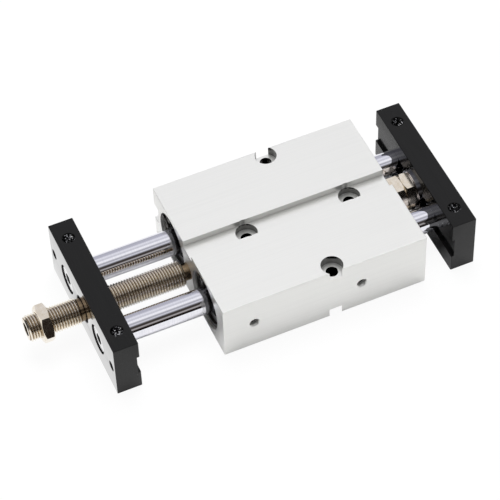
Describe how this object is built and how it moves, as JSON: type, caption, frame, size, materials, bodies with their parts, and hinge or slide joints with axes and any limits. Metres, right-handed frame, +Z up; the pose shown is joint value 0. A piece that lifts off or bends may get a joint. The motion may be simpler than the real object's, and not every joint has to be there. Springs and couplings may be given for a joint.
{
  "type": "twin rod pneumatic cylinder",
  "caption": "Flat pneumatic cylinder with through rods in parallel bores, an end plate across the rods at each end, an adjustable stop stud and air ports on one side.",
  "frame": {"origin": "centre of the pattern of four mounting holes, on the flat underside of the body", "axes": "+X along the rods towards the plate with the bumper bolt, +Y towards the side with the sensor slot, +Z up out of the face with the locating groove"},
  "size_m": [0.1987, 0.078, 0.03],
  "materials": {
    "anodised_body": "clear anodised, fine satin",
    "black_anodised": "glossy black anodised",
    "chromed_rod": "hard chromed, ground and polished",
    "bright_screw": "nickel plated",
    "nickel_thread": "nickel plated, warm",
    "cover_aluminium": "turned",
    "bearing_bronze": "sintered bronze",
    "seal_rubber": "nitrile",
    "cushion_rubber": "polyurethane",
    "spring_steel": "phosphated spring steel",
    "magnet_plastic": "bonded ferrite"
  },
  "bodies": {
    "barrel": {"cover_oring_left_far": "seal_rubber", "cover_oring_left_near": "seal_rubber", "cover_oring_right_far": "seal_rubber", "cover_oring_right_near": "seal_rubber", "cylinder_body": "anodised_body", "guide_bush_left_far": "bearing_bronze", "guide_bush_left_near": "bearing_bronze", "guide_bush_right_far": "bearing_bronze", "guide_bush_right_near": "bearing_bronze", "retaining_ring_left_far": "spring_steel", "retaining_ring_left_near": "spring_steel", "retaining_ring_right_far": "spring_steel", "retaining_ring_right_near": "spring_steel", "rod_cover_left_far": "cover_aluminium", "rod_cover_left_near": "cover_aluminium", "rod_cover_right_far": "cover_aluminium", "rod_cover_right_near": "cover_aluminium", "rod_seal_left_far": "seal_rubber", "rod_seal_left_near": "seal_rubber", "rod_seal_right_far": "seal_rubber", "rod_seal_right_near": "seal_rubber", "stop_cushion_left_far": "cushion_rubber", "stop_cushion_left_near": "cushion_rubber", "stop_cushion_right_far": "cushion_rubber", "stop_cushion_right_near": "cushion_rubber", "stop_stud": "nickel_thread"},
    "carriage": {"bumper_bolt": "nickel_thread", "bumper_lock_nut": "nickel_thread", "bumper_washer": "nickel_thread", "end_plate_left": "black_anodised", "end_plate_right": "black_anodised", "piston_clips_far": "spring_steel", "piston_clips_near": "spring_steel", "piston_left_far": "cover_aluminium", "piston_left_near": "cover_aluminium", "piston_magnet_far": "magnet_plastic", "piston_magnet_near": "magnet_plastic", "piston_right_far": "cover_aluminium", "piston_right_near": "cover_aluminium", "piston_rod_far": "chromed_rod", "piston_rod_near": "chromed_rod", "piston_seals_far": "seal_rubber", "piston_seals_near": "seal_rubber", "rod_screws_left": "bright_screw", "rod_screws_right": "bright_screw"},
    "stop_nut": {"stop_nut": "nickel_thread"}
  },
  "joints": [
    {"name": "carriage_slide", "type": "slide", "parent": "barrel", "child": "carriage", "axis": [1, 0, 0], "range_m": [0, 0.025]},
    {"name": "stop_nut_travel", "type": "slide", "parent": "barrel", "child": "stop_nut", "axis": [1, 0, 0], "range_m": [-0.005, 0.0153]}
  ]
}
